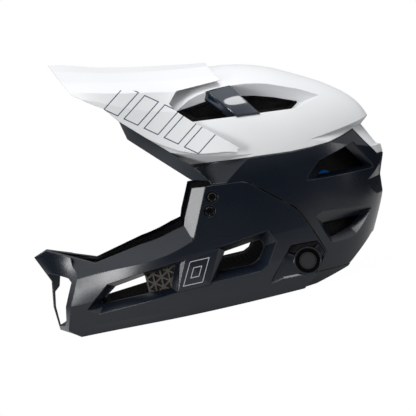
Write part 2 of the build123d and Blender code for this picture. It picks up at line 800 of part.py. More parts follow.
def release_button(side):
    # a round cap on a stem, pressed inwards
    x, y, z = spot(button_share, side)
    with BuildPart() as cap:
        with BuildSketch(Plane(origin=(x, y + side * button_travel, z), z_dir=(0, side, 0))):
            Circle(button_radius)
        extrude(amount=-button_depth)
        with BuildSketch(Plane(origin=(x, y, z), z_dir=(0, side, 0))):
            Circle(stem_radius)
        extrude(amount=-stem_length)
    return cap.part


release_button_left = release_button(-1)
release_button_left.label = "release_button_left"
release_button_right = release_button(1)
release_button_right.label = "release_button_right"

# Soft pads on the inside of the chin bar.
cheek_base_share = [
    (-0.470, 0.090), (0.150, 0.060), (0.390, 0.100), (0.420, 0.280), (0.240, 0.450), (-0.070, 0.450),
    (-0.180, 0.300), (-0.470, 0.250),
]
cheek_crown_share = [
    (-0.430, 0.115), (0.140, 0.085), (0.350, 0.125), (0.380, 0.270), (0.225, 0.415), (-0.040, 0.415),
    (-0.160, 0.265), (-0.430, 0.225),
]
cheek_place_share = (-0.026, 0.820)
cheek_turn = 10.0
chin_layers = chin_wall + chin_foam
with BuildPart() as grille_front:
    with BuildSketch(seat.offset(-grille_room)):
        with Locations(centre):
            Rectangle(grille_length + 2 * grille_room, grille_height + 2 * grille_room)
    extrude(amount=overrun)
with BuildPart() as cheek_pad_left:
    add(pocket(cheek_base_share, cheek_crown_share, cheek_place_share, cheek_turn, cheek_pad_depth))
    add(chin_form(chin_layers + pad_gap), mode=Mode.INTERSECT)
    add(chin_form(chin_layers + pad_gap + cheek_pad_depth, overrun), mode=Mode.SUBTRACT)
    add(grille_front.part, mode=Mode.SUBTRACT)
    add(back_hole, mode=Mode.SUBTRACT)
    add(blocks(tongue_size, tongue_share, 2 * pad_gap), mode=Mode.SUBTRACT)
cheek_pad_left.part.label = "cheek_pad_left"
cheek_pad_right = cheek_pad_left.part.mirror(Plane.XZ)
cheek_pad_right.label = "cheek_pad_right"

chin_pad_share = [(-1.000, 0.060), (-0.640, 0.060), (-0.640, 0.270), (-0.720, 0.300), (-1.000, 0.330)]
with BuildPart() as chin_pad:
    add(chin_form(chin_layers + pad_gap))
    add(chin_form(chin_layers + pad_gap + chin_pad_depth, overrun), mode=Mode.SUBTRACT)
    add(slab(chin_pad_share), mode=Mode.INTERSECT)
    add(pair(mouth(collar)), mode=Mode.SUBTRACT)
    add(pair(front_hole), mode=Mode.SUBTRACT)
chin_pad.part.label = "chin_pad"

# Cross-sections of the visor from front to back as shares: place along the reach, then
# points from the middle out to the lower edge, of breadth and crown.
visor_section_share = [
    (-0.695, [(0.00, 1.171), (0.28, 1.140), (0.54, 1.102), (0.69, 1.062), (0.75, 1.028), (0.77, 0.985)]),
    (-0.579, [(0.00, 1.152), (0.28, 1.120), (0.56, 1.073), (0.72, 1.029), (0.77, 1.002), (0.79, 0.960)]),
    (-0.379, [(0.00, 1.104), (0.29, 1.077), (0.58, 1.033), (0.78, 0.988), (0.82, 0.935), (0.85, 0.855)]),
    (-0.263, [(0.00, 1.083), (0.29, 1.056), (0.58, 1.012), (0.76, 0.966), (0.81, 0.894), (0.86, 0.780)]),
    (-0.126, [(0.00, 1.061), (0.29, 1.036), (0.57, 0.990), (0.72, 0.944), (0.80, 0.858), (0.895, 0.700)]),
    (0.053, [(0.00, 1.034), (0.29, 1.013), (0.57, 0.967), (0.71, 0.905), (0.875, 0.812), (1.005, 0.646)]),
    (0.240, [(0.00, 1.012), (0.29, 1.000), (0.58, 0.948), (0.75, 0.888), (0.925, 0.792), (1.045, 0.600)]),
]
visor_share = [
    (-0.735, 1.266), (-0.577, 1.017), (-0.562, 1.008), (-0.509, 0.974), (-0.429, 0.930), (-0.368, 0.8655),
    (-0.053, 0.617), (0.178, 0.597), (0.215, 0.640), (0.012, 0.789), (-0.056, 0.845), (-0.084, 0.883),
    (-0.031, 0.928), (0.210, 0.929), (0.170, 1.005), (0.170, 1.300),
]
visor_travel = 12.0
visor_steps = 3


def visor_section(points, depth):
    # points from the middle out, drawn in by a depth measured square to the surface
    drawn = []
    for y, z in points:
        lean = y * y
        drawn.append((y * breadth - depth * y, z * crown - depth * (1 - fullness_share * lean)))
    return drawn


with BuildPart() as visor:
    for x, points in visor_section_share:
        outside = visor_section(points, 0.0)
        inside = visor_section(points, visor_wall)
        ring = [(-y, z) for y, z in reversed(outside[1:])] + outside
        ring += list(reversed(inside)) + [(-y, z) for y, z in inside[1:]]
        with BuildSketch(Plane(origin=(x * reach, 0, 0), x_dir=(0, 1, 0), z_dir=(1, 0, 0))):
            with BuildLine():
                Polyline(ring, close=True)
            make_face()
    loft()
    add(slab(visor_share), mode=Mode.INTERSECT)
    # room over the shell at rest and on the way up
    tilt_axis = Axis((pin_place_share[0] * reach, 0, pin_place_share[2] * crown), (0, 1, 0))
    crowded = dome(-visor_lift)
    for step in range(visor_steps + 1):
        add(crowded.rotate(tilt_axis, -visor_travel * step / visor_steps), mode=Mode.SUBTRACT)
    add(pin_bore, mode=Mode.SUBTRACT)
visor.part.label = "visor"

with BuildPart() as visor_pins:
    add(sideways(pin_place_share, pin_radius, pin_proud, pin_length))
visor_pins.part.label = "visor_pins"

made = [
    upper_shell.part, lower_shell.part, brow_trim.part, rim_trim.part, foam_liner.part, vent_strut_left.part,
    vent_strut_right, slip_discs.part, latch_strikers.part, hook_sockets.part, crown_pad.part, brow_pad.part,
    fit_cradle.part, nape_pad.part, fit_dial.part, strap_left, strap_right, strap_anchors.part, buckle.part,
    chin_bar_shell.part, chin_foam_liner.part, chin_tongues.part, button_bezels.part, chin_screws.part,
    release_button_left, release_button_right, side_grille_left, side_grille_right, cheek_pad_left.part,
    cheek_pad_right, chin_pad.part, visor.part, visor_pins.part,
]
for piece in made:
    export_step(piece, "parts/" + piece.label + ".step")
    print(piece.label, len(piece.solids()), round(piece.volume))
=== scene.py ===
import math

import bmesh
import bpy
from mathutils import Matrix, Vector


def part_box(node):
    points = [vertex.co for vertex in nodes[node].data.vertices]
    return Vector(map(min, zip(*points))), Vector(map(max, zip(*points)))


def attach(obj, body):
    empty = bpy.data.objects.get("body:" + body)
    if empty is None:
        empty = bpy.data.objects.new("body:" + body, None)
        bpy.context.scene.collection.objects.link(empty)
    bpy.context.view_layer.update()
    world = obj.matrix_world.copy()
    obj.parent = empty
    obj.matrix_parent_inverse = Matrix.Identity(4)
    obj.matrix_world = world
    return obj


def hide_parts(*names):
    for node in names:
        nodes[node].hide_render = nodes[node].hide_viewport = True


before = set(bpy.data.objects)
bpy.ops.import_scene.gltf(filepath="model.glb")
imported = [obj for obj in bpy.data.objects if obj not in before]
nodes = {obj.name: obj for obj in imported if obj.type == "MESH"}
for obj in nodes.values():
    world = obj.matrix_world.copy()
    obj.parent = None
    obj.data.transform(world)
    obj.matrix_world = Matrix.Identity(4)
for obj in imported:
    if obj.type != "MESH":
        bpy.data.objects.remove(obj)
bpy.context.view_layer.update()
print("frame:", len(nodes), "pieces of the helmet")


# Shader writing: numbers and trees of nodes.
class Value:
    # a number on its way through a material, so that sums read as sums
    def __init__(self, surface, socket):
        self.surface = surface
        self.socket = socket

    def worked(self, operation, *numbers):
        return self.surface.node("ShaderNodeMath", {"operation": operation}, dict(enumerate(numbers)))

    def __add__(self, other):
        return self.worked("ADD", self, other)

    def __radd__(self, other):
        return self.worked("ADD", other, self)

    def __sub__(self, other):
        return self.worked("SUBTRACT", self, other)

    def __rsub__(self, other):
        return self.worked("SUBTRACT", other, self)

    def __mul__(self, other):
        return self.worked("MULTIPLY", self, other)

    def __rmul__(self, other):
        return self.worked("MULTIPLY", other, self)

    def __gt__(self, other):
        return self.worked("GREATER_THAN", self, other)

    def __lt__(self, other):
        return self.worked("LESS_THAN", self, other)

    def __abs__(self):
        return self.worked("ABSOLUTE", self)

    def least(self, other):
        return self.worked("MINIMUM", self, other)

    def most(self, other):
        return self.worked("MAXIMUM", self, other)

    def sine(self):
        return self.worked("SINE", self)

    def root(self):
        return self.worked("SQRT", self)

    def wrapped(self, length):
        # distance along a pattern that repeats every length
        return self.worked("WRAP", self, length, 0.0)

    def between(self, low, high):
        # 0 below low, 1 above high, straight between them
        return self.surface.node("ShaderNodeMapRange", {}, {0: self, 1: low, 2: high, 3: 0.0, 4: 1.0})


class Graph:
    # a tree of nodes
    def __init__(self, tree):
        self.tree = tree

    def node(self, kind, settings, inputs, output=0):
        made = self.tree.nodes.new(kind)
        for key, value in settings.items():
            setattr(made, key, value)
        for key, value in inputs.items():
            self.feed(made.inputs[key], value)
        return Value(self, made.outputs[output])

    def feed(self, socket, value):
        if isinstance(value, Value):
            self.tree.links.new(value.socket, socket)
        elif isinstance(value, tuple) and len(value) == 3 and socket.type == "RGBA":
            socket.default_value = (*value, 1)
        else:
            socket.default_value = value

    def parts(self, vector):
        # a vector's x, y and z
        split = self.tree.nodes.new("ShaderNodeSeparateXYZ")
        self.tree.links.new(vector.socket, split.inputs[0])
        return [Value(self, output) for output in split.outputs]


class Surface(Graph):
    # one material and its nodes
    def __init__(self, name):
        self.material = bpy.data.materials.new(name)
        self.material.use_nodes = True
        super().__init__(self.material.node_tree)
        self.shader = self.tree.nodes["Principled BSDF"]
        self.place = self.node("ShaderNodeTexCoord", {}, {}, "Object")

    def axes(self):
        # the piece's own x, y and z
        return self.parts(self.place)

    def noise(self, scale, detail=2.0, roughness=0.5, place=None):
        return self.node("ShaderNodeTexNoise", {}, {
            "Vector": place or self.place, "Scale": scale, "Detail": detail, "Roughness": roughness}, "Fac")

    def cells(self, scale):
        # distance to the middle of the nearest cell
        return self.node("ShaderNodeTexVoronoi", {}, {"Vector": self.place, "Scale": scale}, "Distance")

    def mixed(self, share, first, second):
        return self.node("ShaderNodeMix", {"data_type": "RGBA"}, {0: share, 6: first, 7: second}, 2)

    def rounded(self, radius):
        # normals that turn over an edge as a moulded edge of this radius does
        return self.node("ShaderNodeBevel", {"samples": 6}, {"Radius": radius}, "Normal")

    def bump(self, height, depth, strength=1.0, over=None):
        inputs = {"Height": height, "Distance": depth, "Strength": strength}
        if over is not None:
            inputs["Normal"] = over
        return self.node("ShaderNodeBump", {}, inputs, "Normal")

    def finish(self, gloss, **sockets):
        # gloss is the same all over, so it's set on the shader's own socket
        self.shader.inputs["Specular IOR Level"].default_value = gloss
        for name, value in sockets.items():
            self.feed(self.shader.inputs[name.replace("_", " ")], value)
        return self.material


# Camera, floor and light.
view = {
    "eye": (-0.0471, -2.1457, 0.2232),
    "forward": (0.02133, 0.99802, -0.05915),
    "up": (0.2404, 0.0523, 0.9693),
    "lens": 177.2,
    "sensor": 36.0,
    "farthest": 60,
}
scene = bpy.context.scene
scene.view_settings.view_transform = "Standard"

forward = Vector(view["forward"]).normalized()
up = Vector(view["up"])
up = (up - forward * up.dot(forward)).normalized()
right = forward.cross(up)
cameraData = bpy.data.cameras.new("camera")
cameraData.lens = view["lens"]
cameraData.sensor_width = view["sensor"]
cameraData.clip_end = view["farthest"]
camera = bpy.data.objects.new("camera", cameraData)
aim = Matrix((right, up, -forward)).transposed().to_4x4()
camera.matrix_world = Matrix.Translation(view["eye"]) @ aim
scene.collection.objects.link(camera)
bpy.context.scene.camera = camera

studio = {
    "white": (1.0, 1.0, 1.0),
    "roomColour": (0.975, 0.985, 1.0),
    "roomLow": 0.02,            # light from below the horizon
    "roomHigh": 1.0,            # light from straight above
    "roomSpan": (0.0, 0.95),    # heights between which it grows
    "floorColour": (0.30, 0.30, 0.30),
    "floorGlow": 1.03,
    "floorShare": 0.96,         # how much of the floor that is seen is its glow
    "floorMirrored": 0.45,      # and of the floor that gloss reflects
    "floorSize": 0.42,
    "floorDrop": 0.0006,        # below the helmet's lower edges
    "lampsAim": (0.0, 0.0, 0.12),
    "lamps": [  # name, place, width, power
        ("keyLamp", (0.50, -0.50, 2.25), 1.3, 28.0),
        ("ridgeLamp", (-2.19, -1.60, 0.40), 1.0, 36.0),
        ("postLamp", (-2.2, 0.75, 0.85), 0.9, 15.0),
        ("rearLamp", (2.2, -0.75, 0.45), 0.9, 6.0),
    ],
}

world = bpy.data.worlds.new("room")
scene.world = world
world.use_nodes = True
room = Graph(world.node_tree)
around = room.parts(room.node("ShaderNodeTexCoord", {}, {}, "Generated"))
brightening = studio["roomHigh"] - studio["roomLow"]
level = around[2].between(*studio["roomSpan"]) * brightening + studio["roomLow"]
plain = room.node("ShaderNodeBackground", {}, {"Color": studio["roomColour"], "Strength": level})
bright = room.node("ShaderNodeBackground", {}, {"Color": studio["white"], "Strength": 1.0})
seenRay = room.node("ShaderNodeLightPath", {}, {}, "Is Camera Ray")
clearRay = room.node("ShaderNodeLightPath", {}, {}, "Is Transmission Ray")
chosen = room.node("ShaderNodeMixShader", {}, {0: seenRay.most(clearRay), 1: plain, 2: bright})
room.tree.links.new(chosen.socket, room.tree.nodes["World Output"].inputs["Surface"])

for name, place, size, energy in studio["lamps"]:
    lampData = bpy.data.lights.new(name, "AREA")
    lampData.shape = "DISK"
    lampData.size = size
    lampData.energy = energy
    lamp = bpy.data.objects.new(name, lampData)
    away = Vector(place) - Vector(studio["lampsAim"])
    lamp.matrix_world = Matrix.Translation(place) @ away.to_track_quat("Z", "Y").to_matrix().to_4x4()
    scene.collection.objects.link(lamp)

floorMesh = bpy.data.meshes.new("floor")
shape = bmesh.new()
bmesh.ops.create_grid(shape, x_segments=1, y_segments=1, size=studio["floorSize"])
bmesh.ops.translate(shape, verts=shape.verts, vec=(0, 0, -studio["floorDrop"]))
shape.to_mesh(floorMesh)
shape.free()
floor = bpy.data.objects.new("floor", floorMesh)
scene.collection.objects.link(floor)
floorLook = Surface("floorLook")
glow = floorLook.node("ShaderNodeEmission", {}, {
    "Color": studio["white"], "Strength": studio["floorGlow"]}, "Emission")
lit = floorLook.node("ShaderNodeBsdfDiffuse", {}, {"Color": studio["floorColour"]}, "BSDF")
seenFloor = floorLook.node("ShaderNodeLightPath", {}, {}, "Is Camera Ray")
mirroredFloor = floorLook.node("ShaderNodeLightPath", {}, {}, "Is Glossy Ray")
glowing = seenFloor * studio["floorShare"] + mirroredFloor * studio["floorMirrored"]
both = floorLook.node("ShaderNodeMixShader", {}, {0: glowing, 1: lit, 2: glow}, "Shader")
floorLook.tree.links.new(both.socket, floorLook.tree.nodes["Material Output"].inputs["Surface"])
floorMesh.materials.append(floorLook.material)
print("studio: camera, floor and", len(studio["lamps"]), "lamps")


# Moulded plastics.
navy = {
    "colour": (0.0026, 0.0055, 0.0116),
    "shade": (0.0032, 0.0064, 0.0132),
    "roughness": 0.27,
    "gloss": 0.56,
    "grain": 2200.0,
    "depth": 0.00001,
    "edge": 0.0010,
}
white = {
    "colour": (0.77, 0.78, 0.79),
    "shade": (0.74, 0.75, 0.765),
    "roughness": 0.36,
    "gloss": 0.4,
    "broad": 14.0,
    "grain": 2600.0,
    "depth": 0.00002,
    "edge": 0.0012,
}
strutLow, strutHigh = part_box("vent_strut_left")
strutMiddle = (strutLow + strutHigh) / 2
strutHalf = (strutHigh - strutLow) / 2
# edge is the radius of the rounded-looking edges, and pillow lets a flat panel shade as a full one
plastics = {
    "navyShell": navy,
    "navyBar": {
        **navy,
        "pillow": {"middle": (-0.112, 0.044), "half": (0.090, 0.050), "bow": 0.012, "rise": 0.0056},
    },
    # the brow trim's navy, painted lighter to stand for the front light its forward face catches
    "litNavyTrim": {
        "colour": (0.0105, 0.0150, 0.0215), "shade": (0.0125, 0.0175, 0.0245),
        "roughness": 0.42, "gloss": 0.45, "grain": 2200.0, "depth": 0.00002, "edge": 0.0008,
    },
    "glossNavy": {
        "colour": (0.005, 0.012, 0.026), "shade": (0.006, 0.014, 0.030),
        "roughness": 0.09, "gloss": 0.95, "uneven": 0.03, "grain": 900.0, "depth": 0.000005, "edge": 0.0030,
        "pillow": {
            "middle": (strutMiddle.x, strutMiddle.z), "half": (strutHalf.x, strutHalf.z),
            "bow": 0.0, "rise": 0.0026,
        },
    },
    "glossBlack": {
        "colour": (0.0015, 0.0015, 0.002), "shade": (0.002, 0.002, 0.0025),
        "roughness": 0.22, "gloss": 0.05, "grain": 900.0, "depth": 0.000005, "edge": 0.0006,
    },
    "blackPlastic": {
        "colour": (0.010, 0.010, 0.011), "shade": (0.014, 0.014, 0.015),
        "roughness": 0.5, "gloss": 0.3, "grain": 2600.0, "depth": 0.00004,
    },
    "latticePlastic": {
        "colour": (0.050, 0.042, 0.036), "shade": (0.060, 0.052, 0.045),
        "roughness": 0.55, "gloss": 0.25, "grain": 2400.0, "depth": 0.00004,
    },
    "blueDisc": {
        "colour": (0.0, 0.19, 0.72), "shade": (0.0, 0.22, 0.78),
        "roughness": 0.35, "gloss": 0.4, "grain": 1500.0, "depth": 0.00002,
    },
}
usual = {"broad": 18.0, "uneven": 0.08, "detail": 3.0, "fineness": 0.6}


def pillowed(made, middle, half, bow, rise):
    # how far a panel stands out: a bow along x and a cushion shape about its middle
    x, y, z = made.axes()
    u = x.between(middle[0] - half[0], middle[0] + half[0]) * 2 - 1
    w = z.between(middle[1] - half[1], middle[1] + half[1]) * 2 - 1
    u, w = u * u, w * w
    cushion = (1 - u) * (1 - u) * (1 - w) * (1 - w)
    return cushion * rise - (u - u * u * 0.5) * bow


def mouldedPlastic(name, look, drawn=None):
    # satin or glossy plastic: a fine grain, slight unevenness of colour and gloss, and what is drawn on it
    made = Surface(name)
    broad = made.noise(look.get("broad", usual["broad"]), usual["detail"])
    fine = made.noise(look["grain"], usual["detail"], usual["fineness"])
    colour = made.mixed(broad, look["colour"], look["shade"])
    if drawn:
        colour = drawn(made, colour)
    facing = made.rounded(look["edge"]) if "edge" in look else None
    if "pillow" in look:
        facing = made.bump(pillowed(made, **look["pillow"]), 1.0, over=facing)
    uneven = (broad - 0.5) * look.get("uneven", usual["uneven"])
    return made.finish(look["gloss"], Base_Color=colour, Roughness=look["roughness"] + uneven,
                       Normal=made.bump(fine, look["depth"], over=facing))


looks = {name: mouldedPlastic(name, look) for name, look in plastics.items()}

blockFrames = {
    "middle": (-0.0535, 0.0425),  # x and z on the raised block, once its lean is taken off
    "lean": 0.55,
    "half": (0.0098, 0.0112),
    "nested": (1.0, 0.42),        # sizes of the two frames
    "line": 0.0008,
    "outside": 0.085,             # farther from the helmet's middle than this
    "colour": (0.46, 0.47, 0.50),
}


def framesOn(made, colour):
    # two nested slanted frames in thin light lines on the block between the windows
    x, y, z = made.axes()
    across = abs(x - z * blockFrames["lean"] - blockFrames["middle"][0])
    upward = abs(z - blockFrames["middle"][1])
    side = abs(y) > blockFrames["outside"]
    for size in blockFrames["nested"]:
        halfWide, halfHigh = (half * size for half in blockFrames["half"])
        far = (across - halfWide).most(upward - halfHigh)
        line = (abs(far) < blockFrames["line"] / 2) * side
        colour = made.mixed(line, colour, blockFrames["colour"])
    return colour


looks["navyBlock"] = mouldedPlastic("navyBlock", navy, framesOn)

bars = {
    "start": (-0.062, 0.2265),  # x and z of the first bar's middle
    "along": (0.78, -0.626),    # the way the row runs down the wing
    "pitch": 0.0222,
    "count": 5,
    "half": (0.0076, 0.0150),
    "slant": 0.30,
    "line": 0.0011,
    "outside": 0.077,           # farther from the helmet's middle than this
    "colour": (0.055, 0.075, 0.115),
}
ticks = {
    "pitch": 0.0031,
    "half": (0.0006, 0.0021),
    "below": 0.0190,            # under the middle of the bars
    "span": (0.078, 0.104),     # along the row of bars
    "strength": 0.8,
    "colour": (0.60, 0.61, 0.62),
}


def barsOn(made, colour):
    # a row of slanted, outlined bars down the wing, and a short row of ticks under it
    x, y, z = made.axes()
    alongX, alongZ = bars["along"]
    dx = x - bars["start"][0]
    dz = z - bars["start"][1]
    run = dx * alongX + dz * alongZ
    rise = dz * alongX - dx * alongZ
    side = abs(y) > bars["outside"]

    halfPitch = bars["pitch"] / 2
    leaning = run - rise * bars["slant"]
    step = (leaning + halfPitch).wrapped(bars["pitch"]) - halfPitch
    far = (abs(step) - bars["half"][0]).most(abs(rise) - bars["half"][1])
    inRow = (leaning > -halfPitch) * (leaning < bars["pitch"] * (bars["count"] - 0.5))
    outline = (abs(far) < bars["line"] / 2) * inRow

    halfWide, halfHigh = ticks["half"]
    tick = abs(run.wrapped(ticks["pitch"]) - ticks["pitch"] / 2) < halfWide
    tickRow = (abs(rise + ticks["below"]) < halfHigh) * (run > ticks["span"][0]) * (run < ticks["span"][1])

    colour = made.mixed(outline * side, colour, bars["colour"])
    return made.mixed(tick * tickRow * side * ticks["strength"], colour, ticks["colour"])


looks["whiteShell"] = mouldedPlastic("whiteShell", white)
looks["whiteVisor"] = mouldedPlastic("whiteVisor", white, barsOn)

# Foam, lining and webbing.
foam = {
    "bead": 330.0,
    "beadSpan": (0.1, 0.55),
    "speck": 900.0,
    "speckSpan": (0.52, 0.72),
    "dark": (0.0065, 0.0062, 0.006),
    "light": (0.032, 0.030, 0.028),
    "depth": 0.0006,
    "strength": 0.7,
    "roughness": 0.85,
    "speckShine": 0.15,
    "gloss": 0.25,
}


def beadedFoam(name):
    # black expanded foam: packed beads with pale specks between them
    made = Surface(name)
    bead = made.cells(foam["bead"])
    speck = made.noise(foam["speck"], 2.0, 0.7).between(*foam["speckSpan"])
    colour = made.mixed(speck * bead.between(*foam["beadSpan"]), foam["dark"], foam["light"])
    return made.finish(foam["gloss"], Base_Color=colour,
                       Roughness=foam["roughness"] - speck * foam["speckShine"],
                       Normal=made.bump(1 - bead, foam["depth"], foam["strength"]))


looks["blackFoam"] = beadedFoam("blackFoam")

knit = {
    "rib": 1500.0,
    "lean": 0.4,                # of the cross ribs
    "drift": (120.0, 0.004),    # scale and reach of the ribs' wander
    "nap": 1400.0,
    "span": (0.1, 1.1),
    "dark": (0.006, 0.006, 0.0065),
    "light": (0.026, 0.026, 0.028),
    "depth": 0.0003,
    "strength": 0.6,
    "roughness": 0.95,
    "napShine": 0.1,
    "sheen": (0.12, 0.5),       # weight and roughness
    "gloss": 0.15,
}


def brushedKnit(name):
    # soft black lining: fine ribs and a nap, its colour lighter where they stand high
    made = Surface(name)
    x, y, z = made.axes()
    drift = made.noise(knit["drift"][0]) * knit["drift"][1]
    ribs = ((x + z + drift) * knit["rib"]).sine()
    cross = ((y + z * knit["lean"] + drift) * knit["rib"]).sine()
    nap = made.noise(knit["nap"], 3.0, 0.7)
    height = ribs * cross * 0.5 + nap
    colour = made.mixed(height.between(*knit["span"]), knit["dark"], knit["light"])
    made.shader.inputs["Sheen Weight"].default_value = knit["sheen"][0]
    made.shader.inputs["Sheen Roughness"].default_value = knit["sheen"][1]
    return made.finish(knit["gloss"], Base_Color=colour,
                       Roughness=knit["roughness"] - nap * knit["napShine"],
                       Normal=made.bump(height, knit["depth"], knit["strength"]))


looks["knitPad"] = brushedKnit("knitPad")

weave = {
    "rib": 0.0011,              # pitch across the strap
    "thread": 0.0016,           # pitch along it
    "sway": 0.0004,
    "threadShare": 0.6,
    "ribShare": 0.4,
    "span": (-0.8, 1.0),
    "dark": (0.008, 0.008, 0.009),
    "light": (0.035, 0.035, 0.038),
    "depth": 0.00025,
    "strength": 0.8,
    "fuzz": 2500.0,
    "roughness": 0.8,
    "fuzzDull": 0.15,
    "gloss": 0.25,
}


def webbing(name):
    # woven strap: ribs along its length, from the piece's own map in metres
    made = Surface(name)
    across, along = made.parts(made.node("ShaderNodeUVMap", {"uv_map": "flat"}, {}))[:2]
    rib = (across * (2 * math.pi / weave["rib"])).sine()
    thread = ((along + rib * weave["sway"]) * (2 * math.pi / weave["thread"])).sine()
    height = thread * weave["threadShare"] + rib * weave["ribShare"]
    colour = made.mixed(height.between(*weave["span"]), weave["dark"], weave["light"])
    dull = made.noise(weave["fuzz"]) * weave["fuzzDull"]
    return made.finish(weave["gloss"], Base_Color=colour, Roughness=weave["roughness"] + dull,
                       Normal=made.bump(height, weave["depth"], weave["strength"]))


looks["webbing"] = webbing("webbing")

# Metal, buttons and screws.
metal = {
    "stretch": (200.0, 200.0, 4000.0),
    "darker": 0.8,
    "uneven": 0.12,
    "depth": 0.00001,
    "gloss": 0.5,
    "kinds": [  # name, colour, roughness
        ("steel", (0.55, 0.55, 0.56), 0.3),
        ("blackSteel", (0.035, 0.035, 0.038), 0.38),
    ],
}


def brushedMetal(name, colour, roughness):
    # metal with fine streaks
    made = Surface(name)
    stretched = made.node("ShaderNodeMapping", {}, {"Vector": made.place, "Scale": metal["stretch"]})
    streak = made.noise(1.0, place=stretched)
    shade = tuple(c * metal["darker"] for c in colour)
    return made.finish(metal["gloss"], Base_Color=made.mixed(streak, colour, shade), Metallic=1.0,
                       Roughness=roughness + (streak - 0.5) * metal["uneven"],
                       Normal=made.bump(streak, metal["depth"]))


for name, colour, roughness in metal["kinds"]:
    looks[name] = brushedMetal(name, colour, roughness)

disc = {
    "ring": 0.0013,             # pitch of the grip rings
    "ringSpan": (-0.4, 0.4),
    "rim": 0.0068,
    "speck": 1800.0,
    "span": (0.2, 1.1),
    "dark": (0.005, 0.005, 0.006),
    "light": (0.030, 0.031, 0.034),
    "depth": 0.0003,
    "strength": 0.8,
    "roughness": 0.5,
    "speckDull": 0.2,
    "gloss": 0.35,
}


def buttonDisc(name):
    # grip rings about the button's own middle, the colour lighter on the ring crests and in specks
    made = Surface(name)
    x, y, z = made.axes()
    low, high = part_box("release_button_left")
    middle = (low + high) / 2
    dx = x - middle.x
    dz = z - middle.z
    far = (dx * dx + dz * dz).root()
    wave = (far * (2 * math.pi / disc["ring"])).sine()
    grip = wave.between(*disc["ringSpan"]) * (far < disc["rim"])
    speck = made.noise(disc["speck"], 3.0, 0.7)
    # lighter on the ring crests and in specks
    lightened = (grip * 0.7 + speck * 0.5).between(*disc["span"])
    colour = made.mixed(lightened, disc["dark"], disc["light"])
    return made.finish(disc["gloss"], Base_Color=colour,
                       Roughness=disc["roughness"] + speck * disc["speckDull"],
                       Normal=made.bump(grip + speck * 0.2, disc["depth"], disc["strength"]))


looks["buttonDisc"] = buttonDisc("buttonDisc")

screws = {
    "places": [(0.00304, 0.11208), (-0.00285, 0.09888)],
    "socket": 0.0021,
    "groove": (0.0037, 0.0042),
    "soft": 0.0004,
    "grooveShare": 0.6,         # its depth beside the socket's
    # dark is painted shade for the socket and groove, light is the head's face
    "dark": (0.0010, 0.0010, 0.0012),
    "light": (0.002, 0.002, 0.0025),
    # glint is a painted highlight colour for the groove
    "glint": (0.12, 0.12, 0.13),
    "glintScale": 700.0,
    "glintSpan": (0.45, 0.6),
    "depth": 0.0009,
    "grain": 1500.0,
    "roughness": 0.38,
    "grainDull": 0.1,
    "gloss": 0.08,
}


def screwHead(name):
    # a black screw head with a round socket and a groove about it; painted shade darkens the socket and
    # groove, and a painted glint lights patches of the groove
    made = Surface(name)
    x, y, z = made.axes()
    apart = []
    for placeX, placeZ in screws["places"]:
        dx = x - placeX
        dz = z - placeZ
        apart.append((dx * dx + dz * dz).root())
    far = apart[0].least(apart[1])
    soft = screws["soft"]
    inner, outer = screws["groove"]
    socket = 1 - far.between(screws["socket"], screws["socket"] + soft)
    groove = far.between(inner - soft, inner) * (1 - far.between(outer, outer + soft))
    sunk = socket.most(groove * screws["grooveShare"])
    # painted glint: patches of the groove are painted light as a highlight
    lightened = groove * made.noise(screws["glintScale"], 1.0).between(*screws["glintSpan"])
    # painted shade: the socket and groove take the darker colour
    colour = made.mixed(sunk, screws["light"], screws["dark"])
    colour = made.mixed(lightened, colour, screws["glint"])
    dull = made.noise(screws["grain"]) * screws["grainDull"]
    return made.finish(screws["gloss"], Base_Color=colour, Roughness=screws["roughness"] + dull,
                       Normal=made.bump(1 - sunk, screws["depth"]))


looks["screwHead"] = screwHead("screwHead")

finishes = {
    "whiteShell": ["upper_shell"],
    "whiteVisor": ["visor"],
    "navyShell": ["lower_shell", "rim_trim"],
    "navyBar": ["chin_bar_shell"],
    "litNavyTrim": ["brow_trim"],
    "glossNavy": ["vent_strut_left", "vent_strut_right"],
    "blackFoam": ["foam_liner", "chin_foam_liner"],
    "knitPad": ["crown_pad", "brow_pad", "nape_pad", "cheek_pad_left", "cheek_pad_right", "chin_pad"],
    "webbing": ["strap_left", "strap_right"],
    "blackPlastic": ["fit_cradle", "fit_dial", "buckle", "hook_sockets", "visor_pins"],
    "glossBlack": ["button_bezels"],
    "latticePlastic": ["side_grille_left", "side_grille_right"],
    "blueDisc": ["slip_discs"],
    "steel": ["latch_strikers", "strap_anchors"],
    "blackSteel": ["chin_tongues"],
    "screwHead": ["chin_screws"],
    "buttonDisc": ["release_button_left", "release_button_right"],
}
for look, members in finishes.items():
    for member in members:
        data = nodes[member].data
        data.materials.clear()
        data.materials.append(looks[look])
print("materials:", len(bpy.data.materials))


# Pieces.
def placed(name, shape):
    # an object of a finished bmesh, linked into the scene
    data = bpy.data.meshes.new(name)
    shape.to_mesh(data)
    shape.free()
    piece = bpy.data.objects.new(name, data)
    scene.collection.objects.link(piece)
    return piece


def smoothed(piece):
    for face in piece.data.polygons:
        face.use_smooth = True


padding = {
    "merge": 0.00001,
    "voxel": 0.0045,
    "shrink": 0.0012,
    "pressure": 4.0,
    "quality": 4,
    "frames": 14,
    "pads": [  # name, solid, body, how far the swelling may go
        ("crownCushion", "crown_pad", "helmet", 0.0030),
        ("browCushion", "brow_pad", "helmet", 0.0030),
        ("napeCushion", "nape_pad", "helmet", 0.0030),
        ("cheekCushionLeft", "cheek_pad_left", "chin_bar", 0.0014),
        ("cheekCushionRight", "cheek_pad_right", "chin_bar", 0.0014),
        ("chinCushion", "chin_pad", "chin_bar", 0.0022),
    ],
}


def copied(name, node):
    # a clean closed copy of a soft solid
    shape = bmesh.new()
    shape.from_mesh(nodes[node].data)
    bmesh.ops.remove_doubles(shape, verts=shape.verts, dist=padding["merge"])
    bmesh.ops.recalc_face_normals(shape, faces=shape.faces)
    return placed(name, shape)


def applied(piece):
    # works the piece's modifiers into its mesh
    whole = bpy.context.evaluated_depsgraph_get()
    data = bpy.data.meshes.new_from_object(piece.evaluated_get(whole))
    piece.modifiers.clear()
    piece.data = data


